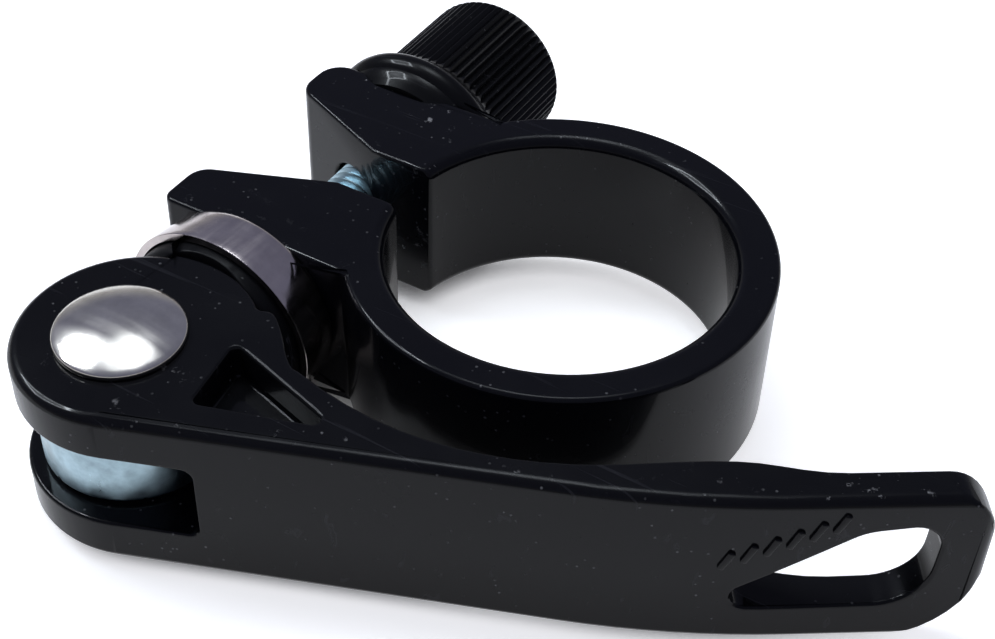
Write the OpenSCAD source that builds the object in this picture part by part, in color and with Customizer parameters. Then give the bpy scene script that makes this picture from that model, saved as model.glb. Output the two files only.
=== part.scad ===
// Quick-release seatpost clamp: a split collar that a cam lever squeezes shut on the seat tube.
// The origin is on the bore axis at half the collar's height. The lugs point to -X, the bolt
// runs along Y through the origin's height, the lever is on the -Y side and the nut on the +Y side.
// The lever is shown closed.

/* [Collar] */
// Bore of the collar, the outer diameter of the tube that it grips
bore_d = 31.8; // [27:0.1:36]
// Wall of the ring
ring_wall = 3.8; // [3:0.1:5]
// Height of the ring and of its lugs
collar_h = 15.4; // [14:0.1:18]
// Chamfer at both ends of the bore
bore_chamfer = 0.7; // [0.3:0.1:1.2]
// Rounding of the ring's outer rims
rim_round = 0.5; // [0.2:0.1:0.9]

/* [Lugs] */
// From the ring's outer wall to the bolt axis
bolt_out = 5.5; // [5:0.1:8]
// From the bolt axis to the ends of the lugs
lug_end = 9.5; // [9:0.1:12]
// Distance between the outer faces of the two lugs
lug_span = 26.8; // [25:0.1:32]
// Width of the slit where it leaves the bore
slit_w = 5.6; // [3:0.1:6]
// How far inside the bolt axis the slit starts to open
flare_start = 3; // [2:0.1:5]
// Angle at which each inner face of the slit opens
flare_angle = 22.6; // [10:0.2:26]
// Rounding of a lug's inner corner
lug_round_in = 2.4; // [0.5:0.1:3]
// Rounding of the near lug's outer corner
lug_round_out = 1.2; // [0.5:0.1:2]
// Rounding of the far lug's outer corner
far_round_out = 2.6; // [1:0.1:3]
// How much shorter the far lug is than the near one
far_lug_short = 0.7; // [0:0.1:1]
// Depth of the nut's seat in the far lug
nut_seat_depth = 1.1; // [0.6:0.1:1.6]
// Radius of the nut's seat at its mouth
nut_seat_r = 9.1; // [8.6:0.1:9.4]
// Slope of the nut's seat, radius lost down to its floor
nut_seat_slope = 0.9; // [0.3:0.1:1.2]
// Angle from the X axis at which the lugs' outer faces run into the ring
lug_root_angle = 42; // [38:1:42]

/* [Bolt] */
// Outer diameter of the bolt's thread
bolt_d = 6; // [5:0.1:6.4]
// Radial clearance of the bolt in the lugs, the washer and the saddle
bolt_play = 0.3; // [0.1:0.05:0.5]
// Outer radius of the bolt's eye
eye_r = 6.6; // [5.5:0.1:7.2]
// Height of the bolt's eye
eye_h = 7.2; // [6.4:0.1:7.4]
// How far the bolt's end stays inside the nut's outer face
bolt_short = 1.4; // [0.5:0.1:3]

/* [Washer and saddle] */
// Depth of the cup washer
cup_h = 4.9; // [4:0.1:6]
// Outer radius of the cup at the lug
cup_back_r = 9.2; // [8.8:0.1:9.4]
// Outer radius of the cup's rim
cup_rim_r = 9.9; // [9.5:0.1:10.6]
// Sheet thickness of the cup
cup_wall = 0.8; // [0.6:0.05:1]
// Share of the cup's flare that its corner at the lug has
cup_foot_flare = 0.3; // [0.1:0.05:0.5]
// Share of the cup's depth that this corner takes
cup_foot_rise = 0.12; // [0.06:0.01:0.2]
// Share of the cup's flare at the bulge of its wall
cup_bulge_flare = 0.75; // [0.65:0.05:0.9]
// Share of the cup's depth at which that bulge is
cup_bulge_rise = 0.6; // [0.4:0.05:0.7]
// How far the saddle stands proud of the cup's rim
saddle_proud = 1.9; // [1.2:0.1:2.5]
// Thickness of the saddle under the middle of its cam seat
saddle_web = 4.9; // [4.5:0.1:5.4]
// Rounding of the saddle's front edge
saddle_round = 1; // [0.5:0.1:1.4]
// Clearance between the saddle and the cup's wall
saddle_play = 0.1; // [0.05:0.05:0.2]

/* [Lever head] */
// Radius of the cam, the round head of the lever
cam_r = 10.5; // [9.6:0.1:11.5]
// Offset of the cam's centre from the pivot
cam_offset = 1.15; // [0.6:0.05:1.3]
// Direction of that offset with the lever closed, from +X towards the washer
cam_phase = 42.5; // [30:0.5:60]
// Gap between the closed cam and its seat
cam_gap = 0.12; // [0.08:0.02:0.2]
// Height of the lever
lever_h = 16.8; // [16:0.1:18]
// Rounding along the lever's edges
lever_round = 1; // [0.5:0.1:1.2]
// Height of the slot between the lever's cheeks
fork_h = 7.8; // [7.6:0.1:8.4]
// How far the end wall of that slot is beyond the cam's circle
fork_extra = 0.35; // [0.2:0.05:2]
// Rounding of the slot's inner corners
fork_round = 0.9; // [0.3:0.1:1.5]

/* [Lever arm] */
// Angle of the arm's front face to the X axis at the head
arm_angle = 20.9; // [18:0.1:23]
// Straight length of the front face from the head
arm_straight = 38; // [36:0.5:42]
// Radius of the front face's bend
arm_bend_r = 87; // [70:1:110]
// Angle through which the front face bends
arm_bend = 12.5; // [10:0.5:15]
// Straight length of the front face after the bend
arm_end = 15.5; // [14:0.5:18]
// How much thicker than the cam's radius the arm is at the shoulder
shoulder_over = 4.9; // [4.5:0.1:5.5]
// Length of the shoulder beside the cam
shoulder_run = 1; // [0.5:0.1:1.5]
// Distance over which the shoulder falls away
shoulder_fall = 4.3; // [3.5:0.1:5]
// Thickness at the foot of the shoulder
foot_t = 8.8; // [7.5:0.1:10]
// Distance along the front face of the waist, the thinnest place
waist_s = 33.5; // [31:0.5:36]
// Thickness at the waist
waist_t = 2.5; // [2.3:0.1:3]
// Distance along the front face of the belly behind the finger hole
belly_s = 51.5; // [48:0.5:53]
// Thickness at the belly
belly_t = 4.6; // [3.5:0.1:5]
// Distance along the front face of the neck before the tip
neck_s = 60.5; // [58:0.5:62]
// Thickness from the neck to the tip
tip_t = 3.3; // [2.8:0.1:4]
// Length of the rounding at the tip's upper corner
tip_top_run = 4.2; // [3:0.1:6]
// Length of the rounding at the tip's lower corner
tip_low_run = 8; // [5:0.1:10]
// Height of the tip's foremost point above the bolt axis
tip_z = 1.9; // [0:0.1:3]

/* [Lever openings] */
// Distance along the front face at which the finger hole's narrow end is centred
hole_s = 53.2; // [52:0.1:54]
// Radius of the hole's narrow end
hole_tail_r = 1.4; // [1:0.05:2]
// Depth of that end below the bolt axis
hole_tail_drop = 2.9; // [2.4:0.05:3.2]
// Length from the narrow end to the wide end's centre
hole_run = 10.2; // [9:0.1:10.5]
// Radius of the hole's wide end
hole_wide_r = 4.45; // [4:0.05:4.8]
// Height of the wide end's centre above the bolt axis
hole_wide_rise = 0.35; // [0:0.05:1]
// Length from the wide end to the upper corner's centre
hole_corner_run = 2.15; // [1:0.05:2.5]
// Radius of the hole's upper corner
hole_corner_r = 2.4; // [2:0.05:3]
// Height of the upper corner's centre above the bolt axis
hole_corner_rise = 2.7; // [2:0.1:3]
// Depth of the triangular pocket in the top of the lever
pocket_depth = 3.3; // [2:0.1:3.6]
// Rounding of the pocket's corners
pocket_round = 0.6; // [0.4:0.1:1]
// Distance from the pivot to the pocket's near side
pocket_near = 9.9; // [9.5:0.1:11]
// Half the width of the pocket's near side
pocket_half = 2.9; // [2:0.1:3.2]
// How much further out the front corner of that side is than the back one
pocket_slant = 0.9; // [0:0.1:1.2]
// Distance from the pivot to the pocket's far corner
pocket_far = 19.2; // [17:0.1:20]
// Shift of the pocket towards the back of the lever
pocket_shift = 0.5; // [0:0.1:0.8]

/* [Pivot pin] */
// Diameter of the pin's shank
pin_d = 7; // [6:0.1:8]
// Running clearance of the pin in the bolt's eye
pin_play = 0.05; // [0.03:0.01:0.08]
// Radius of the pin's domed head
pin_head_r = 5.7; // [5:0.1:6.2]
// Height of the head's straight edge
pin_head_edge = 0.6; // [0.3:0.1:1]
// Height of the dome over that edge
pin_dome = 1.3; // [0.6:0.1:1.8]
// Chamfer of the pin's lower end
pin_chamfer = 0.4; // [0.2:0.1:0.8]

/* [Thumb nut] */
// Length of the nut outside the lug
nut_len = 18.2; // [16:0.1:22]
// Radius of the nut's flange
nut_flange_r = 9.9; // [9.5:0.1:10.6]
// Length of the flange bead
nut_flange_len = 3; // [2.4:0.1:3.6]
// Gap between the flange bead and the lug
nut_flange_gap = 0.3; // [0.1:0.1:0.6]
// Clearance of the nut's nose in its seat
nut_nose_play = 0.1; // [0.05:0.05:0.2]
// Radius of the nut's knurled body
nut_body_r = 8.05; // [7.4:0.05:8.4]
// Radius of the hollow that joins the flange to the body
nut_hollow_r = 3.6; // [2.5:0.1:4.5]
// Rounding of the nut's outer end
nut_end_round = 1.3; // [0.6:0.1:2]
// Length of the plain part between the hollow and the knurl
nut_plain = 1.1; // [0.5:0.1:2]
// Number of knurl grooves
knurl_count = 60; // [36:1:72]
// Depth of a knurl groove
knurl_depth = 0.28; // [0.15:0.01:0.4]
// Radial clearance of the nut on the bolt's thread
thread_play = 0.05; // [0.03:0.01:0.08]
// Radius of the lock ring in the nut's outer end
lock_ring_r = 5; // [4.4:0.1:5.6]
// Height of the lock ring
lock_ring_h = 2.4; // [1.6:0.1:3]

/* [Hidden] */
$fn = 96;
// Overlap by which a cutter passes through what it cuts
over = 1;
// Angle to the face behind it at which an edge's rounding ends, so that it crosses that face cleanly
edge_end = 18;
// Length by which neighbouring stretches of that rounding overlap
edge_lap = 0.1;
// Clearance of two pieces that are pressed together
press_gap = 0.01;
ring_r = bore_d / 2 + ring_wall;
bolt_x = -(ring_r + bolt_out);
lug_tip_x = bolt_x - lug_end;
lug_y = lug_span / 2;
bolt_hole_r = bolt_d / 2 + bolt_play;
flare_x = bolt_x + flare_start;
flare_tip_half = slit_w / 2 + (flare_x - lug_tip_x) * tan(flare_angle);
cup_rim_y = -(lug_y + cup_h);
cup_foot_r = cup_back_r + cup_foot_flare * (cup_rim_r - cup_back_r);
cup_bulge_r = cup_back_r + cup_bulge_flare * (cup_rim_r - cup_back_r);
cup_bulge_y = -(lug_y + cup_bulge_rise * cup_h);
saddle_front_y = cup_rim_y - saddle_proud;
seat_y = -(lug_y + cup_wall + saddle_web);
cam_dx = cam_offset * cos(cam_phase);
cam_dy = cam_offset * sin(cam_phase);
cam_y = seat_y - cam_gap - cam_r;
pin_y = cam_y - cam_dy;
nut_end_y = lug_y + nut_len;
bolt_end_y = nut_end_y - bolt_short;
arm_len = arm_straight + arm_bend_r * arm_bend * PI / 180 + arm_end;
half_h = lever_h / 2;

// Turns a shape that was drawn round Z so that its axis lies along the bolt, +Z becoming +Y
module along_bolt() {
    translate([bolt_x, 0, 0]) rotate([-90, 0, 0]) children();
}

// Quarter round: points from start to end angle about a centre
function arc(c, r, a0, a1, n) = [for (i = [0:n]) c + r * [cos(a0 + (a1 - a0) * i / n), sin(a0 + (a1 - a0) * i / n)]];

// Plan of a lug that ends at tip_x, from the ring's middle out to its tip, on the +Y side
module lug_plan(tip_x, round_out) {
    tip_in = slit_w / 2 + (flare_x - tip_x) * tan(flare_angle);
    polygon(concat(
        [[-bore_d / 2, 0], [0, 0], [0, ring_r / 2], [-ring_r * cos(lug_root_angle), lug_y]],
        arc([tip_x + round_out, lug_y - round_out], round_out, 90, 180, 8),
        arc([tip_x + lug_round_in, tip_in + lug_round_in * tan(45 - flare_angle / 2)],
            lug_round_in, 180, 270 - flare_angle, 10),
        [[tip_x + lug_round_in * 2, 0]]
    ));
}

module collar() {
    color([0.09, 0.10, 0.16]) difference() {
        union() {
            rotate_extrude() polygon(concat(
                [[bore_d / 2 - over, -collar_h / 2]],
                arc([ring_r - rim_round, -collar_h / 2 + rim_round], rim_round, -90, 0, 6),
                arc([ring_r - rim_round, collar_h / 2 - rim_round], rim_round, 0, 90, 6),
                [[bore_d / 2 - over, collar_h / 2]]
            ));
            translate([0, 0, -collar_h / 2]) linear_extrude(collar_h) {
                lug_plan(lug_tip_x + far_lug_short, far_round_out);
                mirror([0, 1]) lug_plan(lug_tip_x, lug_round_out);
            }
        }
        rotate_extrude() polygon([
            [0, -collar_h / 2 - over],
            [bore_d / 2 + bore_chamfer + over, -collar_h / 2 - over],
            [bore_d / 2, -collar_h / 2 + bore_chamfer],
            [bore_d / 2, collar_h / 2 - bore_chamfer],
            [bore_d / 2 + bore_chamfer + over, collar_h / 2 + over],
            [0, collar_h / 2 + over]
        ]);
        translate([0, 0, -collar_h / 2 - over]) linear_extrude(collar_h + 2 * over) polygon([
            [0, -slit_w / 2],
            [0, slit_w / 2],
            [flare_x, slit_w / 2],
            [lug_tip_x, flare_tip_half],
            [lug_tip_x - over, flare_tip_half],
            [lug_tip_x - over, -flare_tip_half],
            [lug_tip_x, -flare_tip_half],
            [flare_x, -slit_w / 2]
        ]);
        along_bolt() translate([0, 0, -lug_y - over]) cylinder(r = bolt_hole_r, h = lug_span + 2 * over);
        along_bolt() translate([0, 0, lug_y - nut_seat_depth])
            cylinder(r1 = nut_seat_r - nut_seat_slope, r2 = nut_seat_r, h = nut_seat_depth + 0.001);
    }
}

module cup_washer() {
    color([0.75, 0.73, 0.72]) along_bolt() rotate_extrude() polygon([
        [bolt_hole_r, -lug_y],
        [cup_back_r, -lug_y],
        [cup_foot_r, -lug_y - cup_foot_rise * cup_h],
        [cup_bulge_r, cup_bulge_y],
        [cup_rim_r, cup_rim_y],
        [cup_rim_r - cup_wall, cup_rim_y],
        [cup_bulge_r - cup_wall, cup_bulge_y],
        [cup_back_r - cup_wall, -lug_y - cup_wall],
        [bolt_hole_r, -lug_y - cup_wall]
    ]);
}

module saddle() {
    side_r = cup_rim_r - cup_wall - saddle_play;
    color([0.06, 0.06, 0.07]) difference() {
        along_bolt() rotate_extrude() polygon(concat(
            [
                [bolt_hole_r, -lug_y - cup_wall],
                [cup_back_r - cup_wall - saddle_play, -lug_y - cup_wall],
                [cup_bulge_r - cup_wall - saddle_play, cup_bulge_y],
                [side_r, cup_rim_y]
            ],
            arc([side_r - saddle_round, saddle_front_y + saddle_round], saddle_round, 0, -90, 6),
            [[bolt_hole_r, saddle_front_y]]
        ));
        translate([bolt_x + cam_dx, cam_y, -cup_rim_r - over]) cylinder(r = cam_r + cam_gap, h = 2 * (cup_rim_r + over));
    }
}

module eye_bolt() {
    color([0.70, 0.76, 0.80]) difference() {
        union() {
            translate([bolt_x, pin_y, -eye_h / 2]) cylinder(r = eye_r, h = eye_h);
            along_bolt() translate([0, 0, pin_y]) cylinder(r = bolt_d / 2, h = bolt_end_y - pin_y);
        }
        translate([bolt_x, pin_y, -eye_h / 2 - over]) cylinder(r = pin_d / 2 + pin_play, h = eye_h + 2 * over);
    }
}

module pivot_pin() {
    dome_r = (pin_head_r * pin_head_r + pin_dome * pin_dome) / (2 * pin_dome);
    edge_z = half_h + pin_head_edge;
    color([0.78, 0.77, 0.73]) translate([bolt_x, pin_y, 0]) rotate_extrude() polygon(concat(
        [[0, -half_h], [pin_d / 2 - pin_chamfer, -half_h], [pin_d / 2, -half_h + pin_chamfer], [pin_d / 2, half_h], [pin_head_r, half_h]],
        arc([0, edge_z + pin_dome - dome_r], dome_r, 90 - asin(pin_head_r / dome_r), 90, 10)
    ));
}

// Front face of the arm, seen from above, with the pivot at the origin
front_start = [cam_dx, cam_dy] + cam_r * [sin(arm_angle), -cos(arm_angle)];
bend_centre = front_start + arm_straight * [cos(arm_angle), sin(arm_angle)]
    + arm_bend_r * [-sin(arm_angle), cos(arm_angle)];
bend_len = arm_bend_r * arm_bend * PI / 180;
bend_steps = 8;

// Direction of the front face at the distance s along it
function front_dir(s) = arm_angle + arm_bend * min(max((s - arm_straight) / bend_len, 0), 1);

// Point of the front face at the distance s along it
function front_at(s) =
    s < arm_straight ? front_start + s * [cos(arm_angle), sin(arm_angle)]
    : bend_centre + arm_bend_r * [sin(front_dir(s)), -cos(front_dir(s))]
      + max(s - arm_straight - bend_len, 0) * [cos(front_dir(s)), sin(front_dir(s))];

// Smooth step from a to b as s goes from s0 to s1
function ease(s, s0, s1, a, b) = a + (b - a) * (1 - cos(180 * min(max((s - s0) / (s1 - s0), 0), 1))) / 2;

// Quarter of an ellipse: 1 down to 0 over the last run before the end
function round_off(s, run) = sqrt(max(1 - pow(max(s - arm_len + run, 0) / run, 2), 0));

// Thickness of the lever at the distance s along its front face: the cam, then the shoulder, waist and belly
cam_end_s = sqrt(cam_r * cam_r - shoulder_over * shoulder_over);
shoulder_t = cam_r + shoulder_over;
shoulder_s = cam_end_s + shoulder_run;
foot_s = shoulder_s + shoulder_fall;
fork_depth = cam_dx + cam_r + fork_extra;
function arm_t(s) =
    s < cam_end_s ? cam_r + sqrt(cam_r * cam_r - s * s)
    : s < foot_s ? ease(s, shoulder_s, foot_s, shoulder_t, foot_t)
    : s < waist_s ? waist_t + (foot_t - waist_t) * pow((waist_s - s) / (waist_s - foot_s), 2.2)
    : s < belly_s ? ease(s, waist_s, belly_s, waist_t, belly_t)
    : ease(s, belly_s, neck_s, belly_t, tip_t);

// Points round the head's end, from the side angle a0 to a1, both measured from that end
function head_arc(a0, a1, n) = [for (i = [0:n]) let(a = 180 + arm_angle + a0 + (a1 - a0) * i / n)
    [cam_dx, cam_dy] + cam_r * [cos(a), sin(a)]];

// Point of the back face at the distance s along the front face
function back_at(s) = let(a = front_dir(s), inset = arm_t(s) / 2 * (1 - round_off(s, tip_t / 2)))
    front_at(s) + (arm_t(s) - inset) * [-sin(a), cos(a)];

// Point of the front face with the tip's rounding
function face_at(s) = let(a = front_dir(s), inset = arm_t(s) / 2 * (1 - round_off(s, tip_t / 2)))
    front_at(s) + inset * [-sin(a), cos(a)];

// Plan of the lever: the cam's circle, then out along the front face and home along the back
tip_s = [for (i = [0:6]) arm_len - tip_t / 2 * cos(90 * i / 6)];
back_s = concat(
    [for (i = [0:9]) shoulder_s + shoulder_fall * i / 9],
    [for (i = [1:8]) foot_s + (waist_s - foot_s) * i / 8],
    [for (i = [1:8]) waist_s + (belly_s - waist_s) * i / 8],
    [for (i = [1:5]) belly_s + (neck_s - belly_s) * i / 5],
    tip_s
);
module lever_plan() {
    cam_end = -90 - asin(cam_end_s / cam_r);
    polygon(concat(
        head_arc(cam_end, 90, 48),
        [for (i = [0:bend_steps]) front_at(arm_straight + bend_len * i / bend_steps)],
        [for (s = tip_s) face_at(s)],
        [for (i = [len(back_s) - 2:-1:0]) back_at(back_s[i])]
    ));
}

// Side view of the lever: level until the tip, which is rounded above and below
module lever_side() {
    p = front_at(arm_len);
    nudge = 0.01;
    translate([p[0], p[1], 0]) rotate([90, 0, front_dir(arm_len)]) translate([0, 0, -3 * cam_r])
        linear_extrude(6 * cam_r) polygon(concat(
            [for (a = [0:9:90]) [tip_top_run * (cos(a) - 1), tip_z + (half_h + nudge - tip_z) * sin(a)]],
            [[-tip_top_run - over, half_h + over], [-2 * arm_len, half_h + over]],
            [[-2 * arm_len, -half_h - over], [-tip_low_run - over, -half_h - over]],
            [for (a = [90:-9:9]) [tip_low_run * (cos(a) - 1), tip_z - (half_h + nudge + tip_z) * sin(a)]]
        ));
}

// What rounding takes off a top edge that is at the distance r from the axis
module edge_waste(r) {
    out = over * sin(edge_end) - lever_round * (1 - cos(edge_end));
    polygon(concat(
        arc([r - lever_round, half_h - lever_round], lever_round, 90, edge_end, 4),
        [
            [r + out, half_h - lever_round * (1 - sin(edge_end)) - over * cos(edge_end)],
            [r + out, half_h + over],
            [r - lever_round, half_h + over]
        ]
    ));
}

// The same along a straight stretch of the front face from the distance s on, at the angle a
module straight_waste(s, a, length) {
    p = front_at(s) - edge_lap * [cos(a), sin(a)];
    translate([p[0], p[1], 0]) rotate([90, 0, a + 90]) mirror([1, 0, 0])
        linear_extrude(length + 2 * edge_lap) edge_waste(0);
}

// Waste of the rounding round the cam and along the front face, from its top edge
module lever_rounding() {
    translate([cam_dx, cam_dy, 0]) rotate([0, 0, 90 + arm_angle - 1]) rotate_extrude(angle = 181) edge_waste(cam_r);
    straight_waste(0, arm_angle, arm_straight);
    for (i = [0:bend_steps - 1])
        straight_waste(arm_straight + bend_len * i / bend_steps, arm_angle + arm_bend * (i + 0.5) / bend_steps,
            2 * arm_bend_r * sin(arm_bend / bend_steps / 2));
    straight_waste(arm_straight + bend_len, arm_angle + arm_bend, arm_end + over);
}

module lever_body() {
    difference() {
        intersection() {
            translate([0, 0, -half_h]) linear_extrude(lever_h) lever_plan();
            lever_side();
        }
        lever_rounding();
        mirror([0, 0, 1]) lever_rounding();
    }
}

module finger_hole() {
    p = front_at(hole_s);
    translate([p[0], p[1], 0]) rotate([90, 0, front_dir(arm_len)]) translate([0, 0, -2 * belly_t])
        linear_extrude(4 * belly_t) hull() {
            translate([0, -hole_tail_drop]) circle(r = hole_tail_r, $fn = 24);
            translate([hole_run, hole_wide_rise]) circle(r = hole_wide_r, $fn = 48);
            translate([hole_run + hole_corner_run, hole_corner_rise]) circle(r = hole_corner_r, $fn = 32);
        }
}

module pocket() {
    translate([0, 0, half_h - pocket_depth]) linear_extrude(pocket_depth + over) hull() {
        translate([pocket_near - pocket_slant / 2, pocket_shift + pocket_half]) circle(r = pocket_round, $fn = 24);
        translate([pocket_near + pocket_slant / 2, pocket_shift - pocket_half]) circle(r = pocket_round, $fn = 24);
        translate([pocket_far, pocket_shift]) circle(r = pocket_round, $fn = 24);
    }
}

// Slot between the cheeks, open to the back, the left and the front
module fork_slot() {
    reach = cam_r + cam_offset + over;
    rotate([90, 0, 0]) translate([0, 0, -3 * cam_r]) linear_extrude(6 * cam_r) union() {
        translate([-reach - cam_r, -fork_h / 2]) square([reach + cam_r + fork_depth - fork_round, fork_h]);
        translate([-reach, -fork_h / 2 + fork_round]) square([reach + fork_depth, fork_h - 2 * fork_round]);
        for (z = [-1, 1]) translate([fork_depth - fork_round, z * (fork_h / 2 - fork_round)]) circle(r = fork_round, $fn = 32);
    }
}

module lever() {
    color([0.08, 0.09, 0.13]) translate([bolt_x, pin_y, 0]) difference() {
        lever_body();
        fork_slot();
        finger_hole();
        pocket();
        translate([0, 0, -half_h - over]) cylinder(r = pin_d / 2 + press_gap, h = lever_h + 2 * over);
    }
}

module thumb_nut() {
    bead_r = nut_flange_len / 2;
    bead_y = lug_y + nut_flange_gap + bead_r;
    nose_r = nut_seat_r - nut_seat_slope - nut_nose_play;
    turn = acos((nut_body_r + nut_hollow_r - nut_flange_r + bead_r) / (bead_r + nut_hollow_r));
    hollow_y = bead_y + (bead_r + nut_hollow_r) * sin(turn);
    hollow_x = nut_body_r + nut_hollow_r;
    groove_from = hollow_y - nut_hollow_r + nut_plain;
    color([0.07, 0.07, 0.08]) along_bolt() difference() {
        rotate_extrude() polygon(concat(
            [[bolt_d / 2 + thread_play, lug_y - nut_seat_depth], [nose_r, lug_y - nut_seat_depth]],
            [[nose_r + nut_seat_slope, lug_y]],
            arc([nut_flange_r - bead_r, bead_y], bead_r, -60, turn, 8),
            arc([hollow_x, hollow_y], nut_hollow_r, 180 + turn * 0.8, 180, 5),
            arc([nut_body_r - nut_end_round, nut_end_y - nut_end_round], nut_end_round, 0, 90, 6),
            [
                [lock_ring_r + press_gap, nut_end_y],
                [lock_ring_r + press_gap, nut_end_y - lock_ring_h],
                [bolt_d / 2 + thread_play, nut_end_y - lock_ring_h]
            ]
        ));
        for (i = [0:knurl_count - 1]) rotate([0, 0, 360 * i / knurl_count])
            translate([nut_body_r, 0, groove_from]) rotate([0, 0, 45])
                translate([-knurl_depth, -knurl_depth, 0]) cube([2 * knurl_depth, 2 * knurl_depth, nut_len]);
    }
}

module lock_ring() {
    color([0.85, 0.85, 0.80]) along_bolt() translate([0, 0, nut_end_y - lock_ring_h]) difference() {
        cylinder(r = lock_ring_r, h = lock_ring_h);
        translate([0, 0, -over]) cylinder(r = bolt_d / 2 + thread_play, h = lock_ring_h + 2 * over);
    }
}

collar();
cup_washer();
saddle();
eye_bolt();
pivot_pin();
lever();
thumb_nut();
lock_ring();
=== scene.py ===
"""Looks of a bicycle's quick-release seatpost clamp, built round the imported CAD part."""

import math

import bpy
from mathutils import Matrix, Vector


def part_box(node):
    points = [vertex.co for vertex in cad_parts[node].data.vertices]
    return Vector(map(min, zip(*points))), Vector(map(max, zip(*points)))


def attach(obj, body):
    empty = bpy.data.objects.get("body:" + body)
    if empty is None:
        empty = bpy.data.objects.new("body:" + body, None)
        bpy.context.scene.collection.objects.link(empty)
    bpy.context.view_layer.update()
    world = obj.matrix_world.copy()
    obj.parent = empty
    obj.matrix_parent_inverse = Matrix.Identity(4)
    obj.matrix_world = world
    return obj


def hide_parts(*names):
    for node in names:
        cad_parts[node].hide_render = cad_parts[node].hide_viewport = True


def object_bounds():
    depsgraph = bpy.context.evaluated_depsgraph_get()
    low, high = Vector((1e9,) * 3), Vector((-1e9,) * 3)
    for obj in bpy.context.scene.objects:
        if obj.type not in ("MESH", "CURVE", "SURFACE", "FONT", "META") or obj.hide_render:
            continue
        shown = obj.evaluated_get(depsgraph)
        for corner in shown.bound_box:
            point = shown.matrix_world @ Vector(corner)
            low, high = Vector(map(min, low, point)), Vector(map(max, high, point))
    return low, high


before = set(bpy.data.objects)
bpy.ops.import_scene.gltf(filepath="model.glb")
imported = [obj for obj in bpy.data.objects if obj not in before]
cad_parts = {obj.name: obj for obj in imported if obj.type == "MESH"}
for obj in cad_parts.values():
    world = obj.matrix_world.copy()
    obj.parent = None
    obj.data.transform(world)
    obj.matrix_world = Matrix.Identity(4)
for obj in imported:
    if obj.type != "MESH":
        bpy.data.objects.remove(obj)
cad_low, cad_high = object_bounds()

# Collar: a split ring with two lugs, cut from an aluminium alloy profile, bored, sawn and painted
# black. Its sharp edges were tumbled before painting, so each has a small round that catches the
# light, and the paint is a little thin and chipped there.
MM = 0.001
COLLAR_EDGE = 0.4 * MM
EDGE_SEGMENTS = 3
SHARP_TURN = math.radians(32)
SMOOTH_TURN = math.radians(30)
FLAT_TURN = math.radians(0.3)
FACE_WEIGHT = 90
WELD = 0.002 * MM


def deselect():
    """Nothing is selected after this, so an operator can't reach another piece."""
    for piece in bpy.context.selected_objects:
        piece.select_set(False)


def select_only(piece):
    """Makes one piece the only one that the next operators act on."""
    deselect()
    piece.select_set(True)
    bpy.context.view_layer.objects.active = piece


def edge_rounded(node, name, width):
    """A copy of a CAD node's mesh with welded points and rounded edges. It stands for the node."""
    piece = bpy.data.objects.new(name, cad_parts[node].data.copy())
    bpy.context.scene.collection.objects.link(piece)
    select_only(piece)
    piece.data.materials.clear()
    bpy.ops.object.mode_set(mode="EDIT")
    bpy.ops.mesh.select_all(action="SELECT")
    bpy.ops.mesh.remove_doubles(threshold=WELD)
    bpy.ops.mesh.customdata_custom_splitnormals_clear()
    bpy.ops.mesh.select_all(action="SELECT")
    bpy.ops.mesh.dissolve_limited(angle_limit=FLAT_TURN, use_dissolve_boundaries=False)
    bpy.ops.object.mode_set(mode="OBJECT")
    if width:
        bevel = piece.modifiers.new("edge", "BEVEL")
        bevel.width = width
        bevel.segments = EDGE_SEGMENTS
        bevel.limit_method = "ANGLE"
        bevel.angle_limit = SHARP_TURN
        bevel.use_clamp_overlap = False
        bevel.miter_outer = "MITER_ARC"
        bpy.ops.object.modifier_apply(modifier="edge")
    bpy.ops.object.shade_smooth_by_angle(angle=SMOOTH_TURN)
    flat_faces = piece.modifiers.new("flat faces", "WEIGHTED_NORMAL")
    flat_faces.keep_sharp = True
    flat_faces.weight = FACE_WEIGHT
    bpy.ops.object.modifier_apply(modifier="flat faces")
    return piece


def new_group(name, inputs, outputs):
    """A shader node group: inputs with their values, and outputs that are plain values."""
    group = bpy.data.node_groups.new(name, "ShaderNodeTree")
    for socket, value in inputs.items():
        kind = "NodeSocketVector" if isinstance(value, tuple) else "NodeSocketFloat"
        made = group.interface.new_socket(socket, in_out="INPUT", socket_type=kind)
        made.default_value = value
    for socket in outputs:
        group.interface.new_socket(socket, in_out="OUTPUT", socket_type="NodeSocketFloat")
    inside = group.nodes.new("NodeGroupInput").outputs
    outside = group.nodes.new("NodeGroupOutput").inputs
    return group, inside, outside


def add(tree, kind, values=(), **settings):
    """A new node with its settings and the values of its sockets."""
    node = tree.nodes.new("ShaderNode" + kind)
    for key, value in settings.items():
        setattr(node, key, value)
    for socket, value in dict(values).items():
        node.inputs[socket].default_value = value
    return node


def ramp(tree, source, stops):
    """A ramp with linear steps between stops, each a place and a grey or a colour."""
    node = add(tree, "ValToRGB")
    elements = node.color_ramp.elements
    while len(elements) < len(stops):
        elements.new(0.5)
    for element, (place, tone) in zip(elements, stops):
        element.position = place
        element.color = tone if isinstance(tone, tuple) else (tone, tone, tone, 1)
    tree.links.new(source, node.inputs["Fac"])
    return node.outputs["Color"]


def noise(tree, vector, **values):
    """Noise over the surface, from 0 to 1."""
    node = add(tree, "TexNoise", values)
    tree.links.new(vector, node.inputs["Vector"])
    return node.outputs["Fac"]


def math_of(tree, operation, first, second):
    """One Math node on two sockets."""
    node = add(tree, "Math", operation=operation)
    tree.links.new(first, node.inputs[0])
    tree.links.new(second, node.inputs[1])
    return node.outputs[0]


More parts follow.
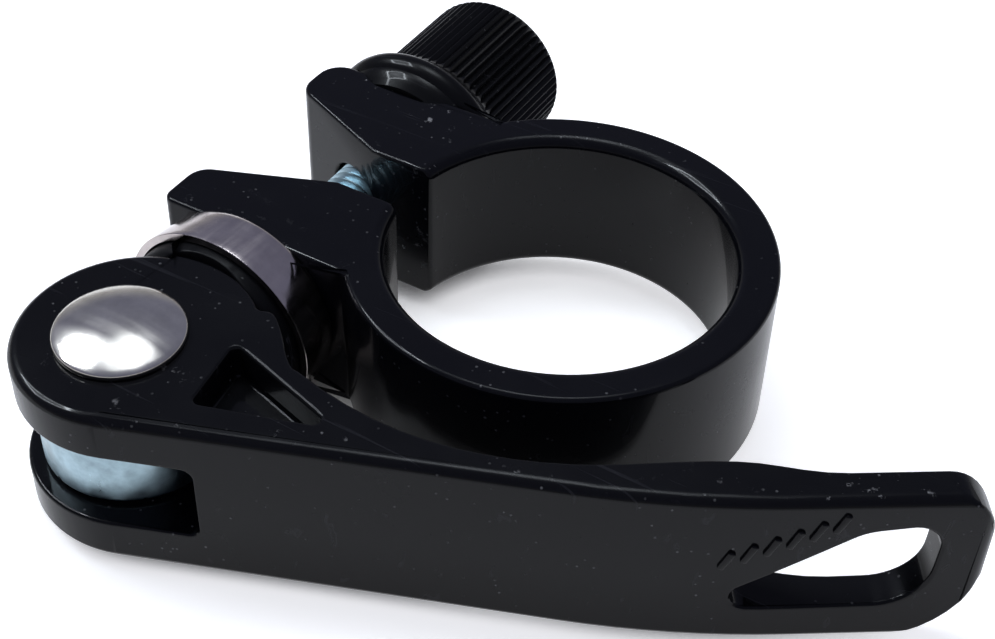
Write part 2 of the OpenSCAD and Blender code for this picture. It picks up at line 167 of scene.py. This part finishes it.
# Marks in the paint: how many cells of each pattern fit in a metre, and a scratch's depth
# against the height of the paint's peel.
DUST_DOTS = 900.0
DUST_PATCHES = 140.0
GLOSS_PATCHES = 75.0
PAINT_PEEL = 1500.0
PAINT_CHIPS = 620.0
SCRATCH_LAY = {"Rotation": (0.3, 0.2, 0.9), "Scale": (40.0, 1400.0, 300.0)}
SCRATCH_DEPTH = -0.6


def paint_marks_group():
    """Dust specks, fine scratches and a slow change of gloss, as masks from 0 to 1."""
    group, inside, outside = new_group(
        "paint marks",
        {"Vector": (0.0, 0.0, 0.0), "Dust": 0.5, "Scratches": 0.5},
        ["Dust", "Scratches", "Gloss", "Height"],
    )
    link = group.links.new
    place = inside["Vector"]
    round_dot = [(0.0, 1), (0.07, 1), (0.13, 0)]
    dusty_patch = [(0.45, 0), (0.72, 0.9)]
    thin_line = [(0.66, 0), (0.7, 1), (0.74, 0)]

    dots = add(group, "TexVoronoi", {"Scale": DUST_DOTS, "Randomness": 1.0}, feature="F1")
    link(place, dots.inputs["Vector"])
    dot = ramp(group, dots.outputs["Distance"], round_dot)
    patches = noise(group, place, Scale=DUST_PATCHES, Detail=4.0, Roughness=0.65)
    dust = math_of(group, "MULTIPLY", dot, ramp(group, patches, dusty_patch))
    link(math_of(group, "MULTIPLY", dust, inside["Dust"]), outside["Dust"])

    turned = add(group, "Mapping", SCRATCH_LAY)
    link(place, turned.inputs["Vector"])
    lines = noise(group, turned.outputs["Vector"], Scale=1.0, Detail=2.0, Distortion=0.6)
    line = ramp(group, lines, thin_line)
    scratched = math_of(group, "MULTIPLY", line, inside["Scratches"])
    link(scratched, outside["Scratches"])

    link(noise(group, place, Scale=GLOSS_PATCHES, Detail=5.0, Roughness=0.6), outside["Gloss"])

    height = add(group, "Math", {1: SCRATCH_DEPTH}, operation="MULTIPLY_ADD")
    link(scratched, height.inputs[0])
    link(noise(group, place, Scale=PAINT_PEEL, Detail=2.0), height.inputs[2])
    link(height.outputs[0], outside["Height"])
    return group


def edge_wear_group():
    """A mask of the sharp outer edges, broken up by noise, where paint is rubbed or chipped."""
    group, inside, outside = new_group(
        "edge wear", {"Vector": (0.0, 0.0, 0.0), "Amount": 0.5}, ["Wear"]
    )
    outer_edge = [(0.53, 0), (0.6, 1)]
    chipped_patch = [(0.62, 0), (0.68, 1)]
    bend = add(group, "NewGeometry").outputs["Pointiness"]
    chips = noise(group, inside["Vector"], Scale=PAINT_CHIPS, Detail=5.0, Roughness=0.7)
    edge = ramp(group, bend, outer_edge)
    worn = math_of(group, "MULTIPLY", edge, ramp(group, chips, chipped_patch))
    group.links.new(math_of(group, "MULTIPLY", worn, inside["Amount"]), outside["Wear"])
    return group


PAINT_MARKS = paint_marks_group()
EDGE_WEAR = edge_wear_group()


def new_material(name):
    """An empty node material and its shader."""
    material = bpy.data.materials.new(name)
    material.use_nodes = True
    tree = material.node_tree
    return material, tree, tree.nodes["Principled BSDF"]


def blend(tree, mask, under, over):
    """Under where the mask is 0, and over where it is 1. Each is a colour or a socket."""
    node = add(tree, "Mix", data_type="RGBA")
    tree.links.new(mask, node.inputs[0])
    for number, color in ((6, under), (7, over)):
        if isinstance(color, bpy.types.NodeSocket):
            tree.links.new(color, node.inputs[number])
        else:
            node.inputs[number].default_value = color
    return node.outputs[2]


def rough_between(tree, shader, noise_value, limits):
    """Roughness between two limits. Noise seldom leaves 0.3 to 0.7, so that range is spread."""
    smooth, rough = limits
    spread = add(
        tree, "MapRange", {"From Min": 0.3, "From Max": 0.7, "To Min": smooth, "To Max": rough}
    )
    tree.links.new(noise_value, spread.inputs["Value"])
    tree.links.new(spread.outputs["Result"], shader.inputs["Roughness"])


def relief(tree, shader, height, strength, depth):
    """Fine relief on a shader."""
    bump = add(tree, "Bump", {"Strength": strength, "Distance": depth})
    tree.links.new(height, bump.inputs["Height"])
    tree.links.new(bump.outputs["Normal"], shader.inputs["Normal"])


COLLAR_BLACK = (0.0036, 0.0037, 0.0052, 1)
DUST_GREY = (0.30, 0.30, 0.29, 1)
SCRATCH_GREY = (0.05, 0.05, 0.055, 1)
BARE_ALLOY = (0.55, 0.54, 0.52, 1)
PAINT_SHINE = 0.03
PAINT_COAT = 0.24
COAT_ROUGHNESS = 0.07
PAINT_GLOSS = (0.16, 0.28)
PAINT_RELIEF = 0.06
PAINT_RELIEF_DEPTH = 0.04 * MM


def black_finish(name, color, dust, scratches, wear, gloss=PAINT_GLOSS, coat=PAINT_COAT):
    """A black finish with dust specks, scratches and, on metal, chips at its edges."""
    material, tree, shader = new_material(name)
    place = add(tree, "TexCoord").outputs["Object"]
    marks = add(tree, "Group", {"Dust": dust, "Scratches": scratches}, node_tree=PAINT_MARKS)
    edges = add(tree, "Group", {"Amount": wear}, node_tree=EDGE_WEAR)
    tree.links.new(place, marks.inputs["Vector"])
    tree.links.new(place, edges.inputs["Vector"])
    dusty = blend(tree, marks.outputs["Dust"], color, DUST_GREY)
    scratched = blend(tree, marks.outputs["Scratches"], dusty, SCRATCH_GREY)
    chipped = blend(tree, edges.outputs["Wear"], scratched, BARE_ALLOY)
    tree.links.new(chipped, shader.inputs["Base Color"])
    rough_between(tree, shader, marks.outputs["Gloss"], gloss)
    relief(tree, shader, marks.outputs["Height"], PAINT_RELIEF, PAINT_RELIEF_DEPTH)
    shader.inputs["Specular IOR Level"].default_value = PAINT_SHINE
    shader.inputs["Coat Weight"].default_value = coat
    shader.inputs["Coat Roughness"].default_value = COAT_ROUGHNESS
    return material


collar = edge_rounded("collar", "collar_ring", COLLAR_EDGE)
collar_paint = black_finish("collar paint", COLLAR_BLACK, dust=0.6, scratches=0.12, wear=0.5)
collar.data.materials.append(collar_paint)
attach(collar, "clamp")
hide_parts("collar")

# Lever: one aluminium alloy casting with a cam at its head, a slot for the bolt's eye, a waisted
# arm, a pocket that saves weight and a hole for a finger. Its edges are rounded by the mould, and
# it is painted with the collar.
LEVER_EDGE = 0.35 * MM
LEVER_BLACK = (0.0036, 0.0037, 0.0046, 1)
LEVER_GLOSS = (0.18, 0.3)

lever = edge_rounded("lever", "lever_arm", LEVER_EDGE)
lever_paint = black_finish(
    "lever paint", LEVER_BLACK, dust=0.8, scratches=0.25, wear=0.35, gloss=LEVER_GLOSS
)
lever.data.materials.append(lever_paint)
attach(lever, "lever")
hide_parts("lever")

# Grip ribs: six short slanted ribs on the lever's front face, beside the finger hole. They are cast
# with the lever and painted with it, and their row follows the end of the face's bend.
RIB_COUNT = 6
RIB_SIZE = Vector((0.65, 0.6, 2.2)) * MM
RIB_ROUND = 0.22 * MM
RIB_ROUND_SEGMENTS = 4
RIB_LEAN = math.radians(24)
BEND_R = 87 * MM
BEND_END = Vector((31.75, -17.33, 0)) * MM
BEND_END_TURN = math.radians(33.4)
FIRST_RIB_RUN, FIRST_RIB_Z = -6.0 * MM, 1.7 * MM
LAST_RIB_RUN, LAST_RIB_Z = 2.6 * MM, 6.0 * MM


def face_place(run):
    """The place and the turn of the lever's front face, run metres past the end of its bend."""
    turn = BEND_END_TURN + min(run, 0) / BEND_R
    middle = BEND_END + BEND_R * Vector((-math.sin(BEND_END_TURN), math.cos(BEND_END_TURN), 0))
    on_bend = middle + BEND_R * Vector((math.sin(turn), -math.cos(turn), 0))
    along = Vector((math.cos(turn), math.sin(turn), 0))
    return on_bend + max(run, 0) * along, turn


deselect()
bpy.ops.mesh.primitive_cube_add(size=1, scale=RIB_SIZE)
bpy.ops.object.transform_apply(location=False, rotation=False, scale=True)
plain_rib = bpy.context.object
rib_round = plain_rib.modifiers.new("round", "BEVEL")
rib_round.width = RIB_ROUND
rib_round.segments = RIB_ROUND_SEGMENTS
bpy.ops.object.modifier_apply(modifier="round")
bpy.ops.object.shade_smooth()
plain_rib.data.materials.append(lever_paint)

for number in range(RIB_COUNT):
    share = number / (RIB_COUNT - 1)
    place, face_turn = face_place(FIRST_RIB_RUN + share * (LAST_RIB_RUN - FIRST_RIB_RUN))
    place.z = FIRST_RIB_Z + share * (LAST_RIB_Z - FIRST_RIB_Z)
    turn = Matrix.Rotation(face_turn, 4, "Z") @ Matrix.Rotation(RIB_LEAN, 4, "Y")
    rib = bpy.data.objects.new(f"grip_rib_{number + 1}", plain_rib.data.copy())
    bpy.context.scene.collection.objects.link(rib)
    rib.data.transform(Matrix.Translation(place) @ turn)
    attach(rib, "lever")
bpy.data.objects.remove(plain_rib)

# Pivot pin: turned from stainless steel with a domed head and pressed into the lever's cheeks
# through the bolt's eye, so that the lever swings on the bolt. Its head was brushed and polished.
STEEL_LINES = {"Scale": 1.0, "Detail": 4.0, "Roughness": 0.6}
STEEL_STAINS = {"Scale": 260.0, "Detail": 4.0, "Roughness": 0.65}
STEEL_RELIEF_DEPTH = 0.02 * MM
PIN_EDGE = 0.2 * MM
PIN_STEEL = (0.60, 0.57, 0.52, 1)
PIN_GLOSS = (0.12, 0.2)
PIN_LAY = (60.0, 900.0, 60.0)
PIN_RELIEF = 0.03


def steel_marks_group():
    """Brushed lines, by how many fit in a metre each way, and a mask that is 0 on the stains."""
    group, inside, outside = new_group(
        "steel marks", {"Vector": (0.0, 0.0, 0.0), "Lay": PIN_LAY}, ["Lines", "Clean"]
    )
    stain_edge = [(0.36, 0), (0.62, 1)]
    lay = add(group, "Mapping")
    group.links.new(inside["Vector"], lay.inputs["Vector"])
    group.links.new(inside["Lay"], lay.inputs["Scale"])
    group.links.new(noise(group, lay.outputs["Vector"], **STEEL_LINES), outside["Lines"])
    stains = noise(group, inside["Vector"], **STEEL_STAINS)
    group.links.new(ramp(group, stains, stain_edge), outside["Clean"])
    return group


STEEL_MARKS = steel_marks_group()


def steel(name, color, gloss, lay, relief_strength=0.1, stain=0.82):
    """Brushed, polished or plated steel. A stain leaves it this share of its brightness."""
    material, tree, shader = new_material(name)
    marks = add(tree, "Group", {"Lay": lay}, node_tree=STEEL_MARKS)
    tree.links.new(add(tree, "TexCoord").outputs["Object"], marks.inputs["Vector"])
    stained = [tone * stain for tone in color[:3]] + [1]
    toned = blend(tree, marks.outputs["Clean"], stained, color)
    tree.links.new(toned, shader.inputs["Base Color"])
    rough_between(tree, shader, marks.outputs["Lines"], gloss)
    relief(tree, shader, marks.outputs["Lines"], relief_strength, STEEL_RELIEF_DEPTH)
    shader.inputs["Metallic"].default_value = 1.0
    return material


pin = edge_rounded("pivot_pin", "pin_with_domed_head", PIN_EDGE)
pin.data.materials.append(steel("pin steel", PIN_STEEL, PIN_GLOSS, PIN_LAY, PIN_RELIEF))
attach(pin, "lever")
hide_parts("pivot_pin")

# Eye bolt: a steel bolt with a round eye forged at one end, plated with blue-white zinc. The eye's
# rim stands further out here than in the CAD part, as on the real bolt, and the shank is thinned to
# the root of its thread.
BOLT_X = -25.2 * MM
BOLT_EDGE = 0.4 * MM
EYE_AT = Vector((BOLT_X, -30.497 * MM, 0))
EYE_R = 6.6 * MM
EYE_INSIDE_R = 5 * MM
EYE_SWELL = 1.4 * MM
EYE_EDGE_PLAY = 0.05 * MM
THREAD_START_Y = -12 * MM
THREAD_CREST_R = 3 * MM
THREAD_ROOT_R = 2.4 * MM
THREAD_RUN_IN = 0.4 * MM
BLUE_ZINC = (0.38, 0.51, 0.57, 1)
ZINC_GLOSS = (0.25, 0.45)
ZINC_LAY = (500.0, 500.0, 500.0)
ZINC_RELIEF = 0.3
ZINC_STAIN = 0.62

zinc = steel("bolt zinc", BLUE_ZINC, ZINC_GLOSS, ZINC_LAY, ZINC_RELIEF, ZINC_STAIN)
bolt_low, bolt_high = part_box("eye_bolt")
bolt = edge_rounded("eye_bolt", "bolt_with_eye", BOLT_EDGE)
bpy.ops.object.mode_set(mode="EDIT")
for cut_y in (THREAD_START_Y, THREAD_START_Y + THREAD_RUN_IN):
    bpy.ops.mesh.select_all(action="SELECT")
    bpy.ops.mesh.bisect(plane_co=(0, cut_y, 0), plane_no=(0, 1, 0))
bpy.ops.object.mode_set(mode="OBJECT")
for vertex in bolt.data.vertices:
    out = Vector((vertex.co.x - EYE_AT.x, vertex.co.y - EYE_AT.y, 0))
    if EYE_INSIDE_R < out.length < EYE_R + EYE_EDGE_PLAY:
        vertex.co += out.normalized() * EYE_SWELL
    if vertex.co.y > THREAD_START_Y + THREAD_RUN_IN / 2:
        vertex.co.x = BOLT_X + (vertex.co.x - BOLT_X) * THREAD_ROOT_R / THREAD_CREST_R
        vertex.co.z *= THREAD_ROOT_R / THREAD_CREST_R
bolt.data.materials.append(zinc)
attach(bolt, "clamp")
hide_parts("eye_bolt")

# Rolled thread: a helix with a pitch of 1 mm, rolled into the bolt before it was plated. Its
# crests have the radius that the plain bolt has in the CAD part, and its roots sink into the shank.
PITCH = 1 * MM
CREST_HALF = 0.07 * MM
ROOT_HALF = 0.47 * MM
ROOT_OVERLAP = 0.1 * MM
STEPS_A_TURN = 24
THREAD_SMOOTH_TURN = math.radians(25)
END_WELD = 0.0001 * MM

deselect()
bpy.ops.mesh.primitive_plane_add(size=1, location=(0, 0, 0))
thread = bpy.context.object
thread.name = "rolled_thread"
profile = (
    (THREAD_ROOT_R - ROOT_OVERLAP, -ROOT_HALF),
    (THREAD_CREST_R, -CREST_HALF),
    (THREAD_ROOT_R - ROOT_OVERLAP, ROOT_HALF),
    (THREAD_CREST_R, CREST_HALF),
)
for vertex, (r, y) in zip(thread.data.vertices, profile):
    vertex.co = (r, y, 0)
screw = thread.modifiers.new("helix", "SCREW")
screw.axis = "Y"
screw.screw_offset = PITCH
screw.iterations = int((bolt_high.y - THREAD_START_Y) / PITCH) - 1
screw.steps = STEPS_A_TURN
screw.render_steps = STEPS_A_TURN
screw.use_merge_vertices = False
bpy.ops.object.mode_set(mode="EDIT")
bpy.ops.mesh.select_all(action="SELECT")
bpy.ops.mesh.delete(type="ONLY_FACE")
bpy.ops.object.mode_set(mode="OBJECT")
bpy.ops.object.modifier_apply(modifier="helix")
bpy.ops.object.mode_set(mode="EDIT")
bpy.ops.mesh.select_all(action="DESELECT")
bpy.ops.mesh.select_non_manifold()
bpy.ops.mesh.edge_face_add()
bpy.ops.mesh.select_all(action="SELECT")
bpy.ops.mesh.remove_doubles(threshold=END_WELD)
bpy.ops.mesh.normals_make_consistent(inside=False)
bpy.ops.object.mode_set(mode="OBJECT")
thread.location = (BOLT_X, THREAD_START_Y + PITCH, 0)
bpy.ops.object.transform_apply(location=True, rotation=True, scale=True)
bpy.ops.object.shade_smooth_by_angle(angle=THREAD_SMOOTH_TURN)
thread.data.materials.append(zinc)
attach(thread, "clamp")

# Cup washer: pressed from steel sheet, flared towards the lever and polished. It sits on the near
# lug and spreads the bolt's pull over it.
CUP_EDGE = 0.12 * MM
CUP_STEEL = (0.48, 0.43, 0.42, 1)
CUP_GLOSS = (0.12, 0.24)
CUP_LAY = (900.0, 40.0, 900.0)

cup = edge_rounded("cup_washer", "cup_washer_steel", CUP_EDGE)
cup.data.materials.append(steel("cup steel", CUP_STEEL, CUP_GLOSS, CUP_LAY))
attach(cup, "clamp")
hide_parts("cup_washer")

# Saddle: a black nylon moulding that sits in the cup washer. The cam slides on its hollow face and
# has rubbed it pale.
SADDLE_EDGE = 0.15 * MM
SADDLE_BLACK = (0.006, 0.006, 0.007, 1)
SADDLE_GLOSS = (0.3, 0.5)

saddle = edge_rounded("saddle", "saddle_moulding", SADDLE_EDGE)
saddle_nylon = black_finish(
    "saddle nylon", SADDLE_BLACK, dust=1.0, scratches=0.9, wear=0.0, gloss=SADDLE_GLOSS, coat=0.0
)
saddle.data.materials.append(saddle_nylon)
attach(saddle, "clamp")
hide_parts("saddle")

# Thumb nut: turned from aluminium alloy with a flange, a hollow neck and a straight knurl, and
# finished black. The knurl is in the CAD part and stays sharp, so the nut's edges get no round.
NUT_EDGE = 0
NUT_BLACK = (0.0045, 0.0045, 0.005, 1)
NUT_GLOSS = (0.22, 0.36)
NUT_COAT = 0.15

nut = edge_rounded("thumb_nut", "knurled_nut", NUT_EDGE)
nut_paint = black_finish(
    "nut paint", NUT_BLACK, dust=0.4, scratches=0.2, wear=0.3, gloss=NUT_GLOSS, coat=NUT_COAT
)
nut.data.materials.append(nut_paint)
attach(nut, "nut")
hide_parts("thumb_nut")

# Lock ring: a ring of natural nylon, pressed into the nut's outer end. It grips the bolt's thread,
# so that the nut keeps its setting.
RING_EDGE = 0.15 * MM
NYLON_DEEP = (0.62, 0.60, 0.53, 1)
NYLON_PALE = (0.74, 0.72, 0.66, 1)
NYLON_ROUGHNESS = 0.5
NYLON_GRAIN = 900.0


def natural_nylon(name):
    """Pale nylon with a fine, cloudy grain."""
    material, tree, shader = new_material(name)
    place = add(tree, "TexCoord").outputs["Object"]
    grain = noise(tree, place, Scale=NYLON_GRAIN, Detail=3.0)
    tree.links.new(blend(tree, grain, NYLON_DEEP, NYLON_PALE), shader.inputs["Base Color"])
    shader.inputs["Roughness"].default_value = NYLON_ROUGHNESS
    return material


ring = edge_rounded("lock_ring", "lock_ring_nylon", RING_EDGE)
ring.data.materials.append(natural_nylon("ring nylon"))
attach(ring, "nut")
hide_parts("lock_ring")

# Floor: a pale sweep on which the clamp lies. It looks white to the camera and in reflections.
# Close under the clamp, ambient occlusion dims its glow: a painted shadow on top of the lamps' real
# soft shadow.
FLOOR_SIZE = 6.0
FLOOR_GAP = 0.02 * MM
FLOOR_PALE = (0.86, 0.86, 0.86, 1)
FLOOR_ROUGHNESS = 0.9
FLOOR_SHINE = 0.1
PAINTED_SHADOW_REACH = 20 * MM
PAINTED_SHADOW_SAMPLES = 8
DARK_UNTIL, WHITE_FROM = 0.12, 0.4
FLOOR_GLOW = 0.72


def floor_paper(name):
    """Pale paper that glows for rays that are seen, dimmed close under the clamp as a painted
    shadow.
    """
    material, tree, shader = new_material(name)
    link = tree.links.new
    shader.inputs["Base Color"].default_value = FLOOR_PALE
    shader.inputs["Roughness"].default_value = FLOOR_ROUGHNESS
    shader.inputs["Specular IOR Level"].default_value = FLOOR_SHINE
    rays = add(tree, "LightPath").outputs
    seen = math_of(tree, "MAXIMUM", rays["Is Camera Ray"], rays["Is Glossy Ray"])
    seen = math_of(tree, "MAXIMUM", seen, rays["Is Transmission Ray"])
    # Painted shadow: ambient occlusion dims the floor's glow close under the clamp.
    painted_shadow_ao = add(tree, "AmbientOcclusion", {"Distance": PAINTED_SHADOW_REACH}, samples=PAINTED_SHADOW_SAMPLES)
    limits = {"From Min": DARK_UNTIL, "From Max": WHITE_FROM, "To Min": 0.0, "To Max": FLOOR_GLOW}
    glow_outside_painted_shadow = add(tree, "MapRange", limits)
    link(painted_shadow_ao.outputs["AO"], glow_outside_painted_shadow.inputs["Value"])
    glow = add(tree, "Emission", {"Color": (1, 1, 1, 1)})
    link(glow_outside_painted_shadow.outputs["Result"], glow.inputs["Strength"])
    lit = add(tree, "AddShader")
    link(shader.outputs["BSDF"], lit.inputs[0])
    link(glow.outputs["Emission"], lit.inputs[1])
    pick = add(tree, "MixShader")
    link(seen, pick.inputs["Fac"])
    link(shader.outputs["BSDF"], pick.inputs[1])
    link(lit.outputs["Shader"], pick.inputs[2])
    link(pick.outputs["Shader"], tree.nodes["Material Output"].inputs["Surface"])
    return material


deselect()
bpy.ops.mesh.primitive_plane_add(size=FLOOR_SIZE, location=(0, 0, cad_low.z - FLOOR_GAP))
bpy.ops.object.transform_apply(location=True, rotation=False, scale=False)
floor = bpy.context.object
floor.name = "floor"
floor.data.materials.append(floor_paper("pale floor"))

# Studio: a dim bluish room overhead that turns mid grey at the horizon, with two soft lamps. Each
# lamp hangs as a pair, one for the light and one for the long highlights on the rounded edges.
ROOM_HORIZON = (0.5, 0.5, 0.5, 1)
ROOM_OVERHEAD = (0.20, 0.21, 0.30, 1)
HORIZON_AT, OVERHEAD_AT = 0.5, 0.64
LEFT_LAMP = (-0.41, -0.07, 0.49)
BACK_LAMP = (-0.1, 0.1, 0.61)
COOL = (0.86, 0.93, 1.0)

world = bpy.data.worlds.new("studio")
bpy.context.scene.world = world
world.use_nodes = True
room = world.node_tree
background = room.nodes["Background"]
parts = add(room, "SeparateXYZ")
room.links.new(add(room, "TexCoord").outputs["Generated"], parts.inputs["Vector"])
rise = add(room, "MapRange", {"From Min": -1.0, "From Max": 1.0})
room.links.new(parts.outputs["Z"], rise.inputs["Value"])
room_stops = [(HORIZON_AT, ROOM_HORIZON), (OVERHEAD_AT, ROOM_OVERHEAD)]
room_color = ramp(room, rise.outputs["Result"], room_stops)
room.links.new(room_color, background.inputs["Color"])
background.inputs["Strength"].default_value = 1.0


def soft_lamp(name, place, size, power, for_gloss):
    """A square lamp that looks at the clamp. It gives either the light or the highlights."""
    lamp = bpy.data.lights.new(name, "AREA")
    lamp.shape = "RECTANGLE"
    lamp.size, lamp.size_y = size
    lamp.energy = power
    lamp.color = COOL
    holder = bpy.data.objects.new(name, lamp)
    bpy.context.scene.collection.objects.link(holder)
    holder.location = place
    holder.rotation_mode = "QUATERNION"
    holder.rotation_quaternion = Vector(place).to_track_quat("Z", "Y")
    holder.visible_diffuse = not for_gloss
    holder.visible_glossy = for_gloss


soft_lamp("light from left", LEFT_LAMP, size=(0.2, 0.2), power=1.1, for_gloss=False)
soft_lamp("light from back", BACK_LAMP, size=(0.24, 0.2), power=1.2, for_gloss=False)
soft_lamp("highlight left", LEFT_LAMP, size=(0.23, 0.24), power=9.5, for_gloss=True)
soft_lamp("highlight back", BACK_LAMP, size=(0.22, 0.18), power=7.5, for_gloss=True)

# Camera: at the photograph's viewing angle. Its place, turn and lens were solved from the circles
# of the collar's two rims.
LENS = 63.45
SENSOR_WIDTH = 36
AZIMUTH, ELEVATION, ROLL = (math.radians(turn) for turn in (29.4457, 42.2153, 1.7673))
CAMERA_AT = Vector((0.0547127, -0.1081017, 0.1083451))
NEAREST, FURTHEST = 5 * MM, 20

back = Vector((
    math.sin(AZIMUTH) * math.cos(ELEVATION),
    -math.cos(AZIMUTH) * math.cos(ELEVATION),
    math.sin(ELEVATION),
))
side = (-back).cross(Vector((0, 0, 1))).normalized()
up = side.cross(-back)
across = math.cos(ROLL) * side + math.sin(ROLL) * up
upward = math.cos(ROLL) * up - math.sin(ROLL) * side
camera = bpy.data.objects.new("camera", bpy.data.cameras.new("camera"))
bpy.context.scene.collection.objects.link(camera)
camera.data.lens = LENS
camera.data.sensor_width = SENSOR_WIDTH
camera.data.clip_start = NEAREST
camera.data.clip_end = FURTHEST
turned = Matrix((across, upward, back)).transposed().to_4x4()
camera.matrix_world = Matrix.Translation(CAMERA_AT) @ turned
bpy.context.scene.camera = camera
bpy.context.scene.view_settings.view_transform = "Standard"
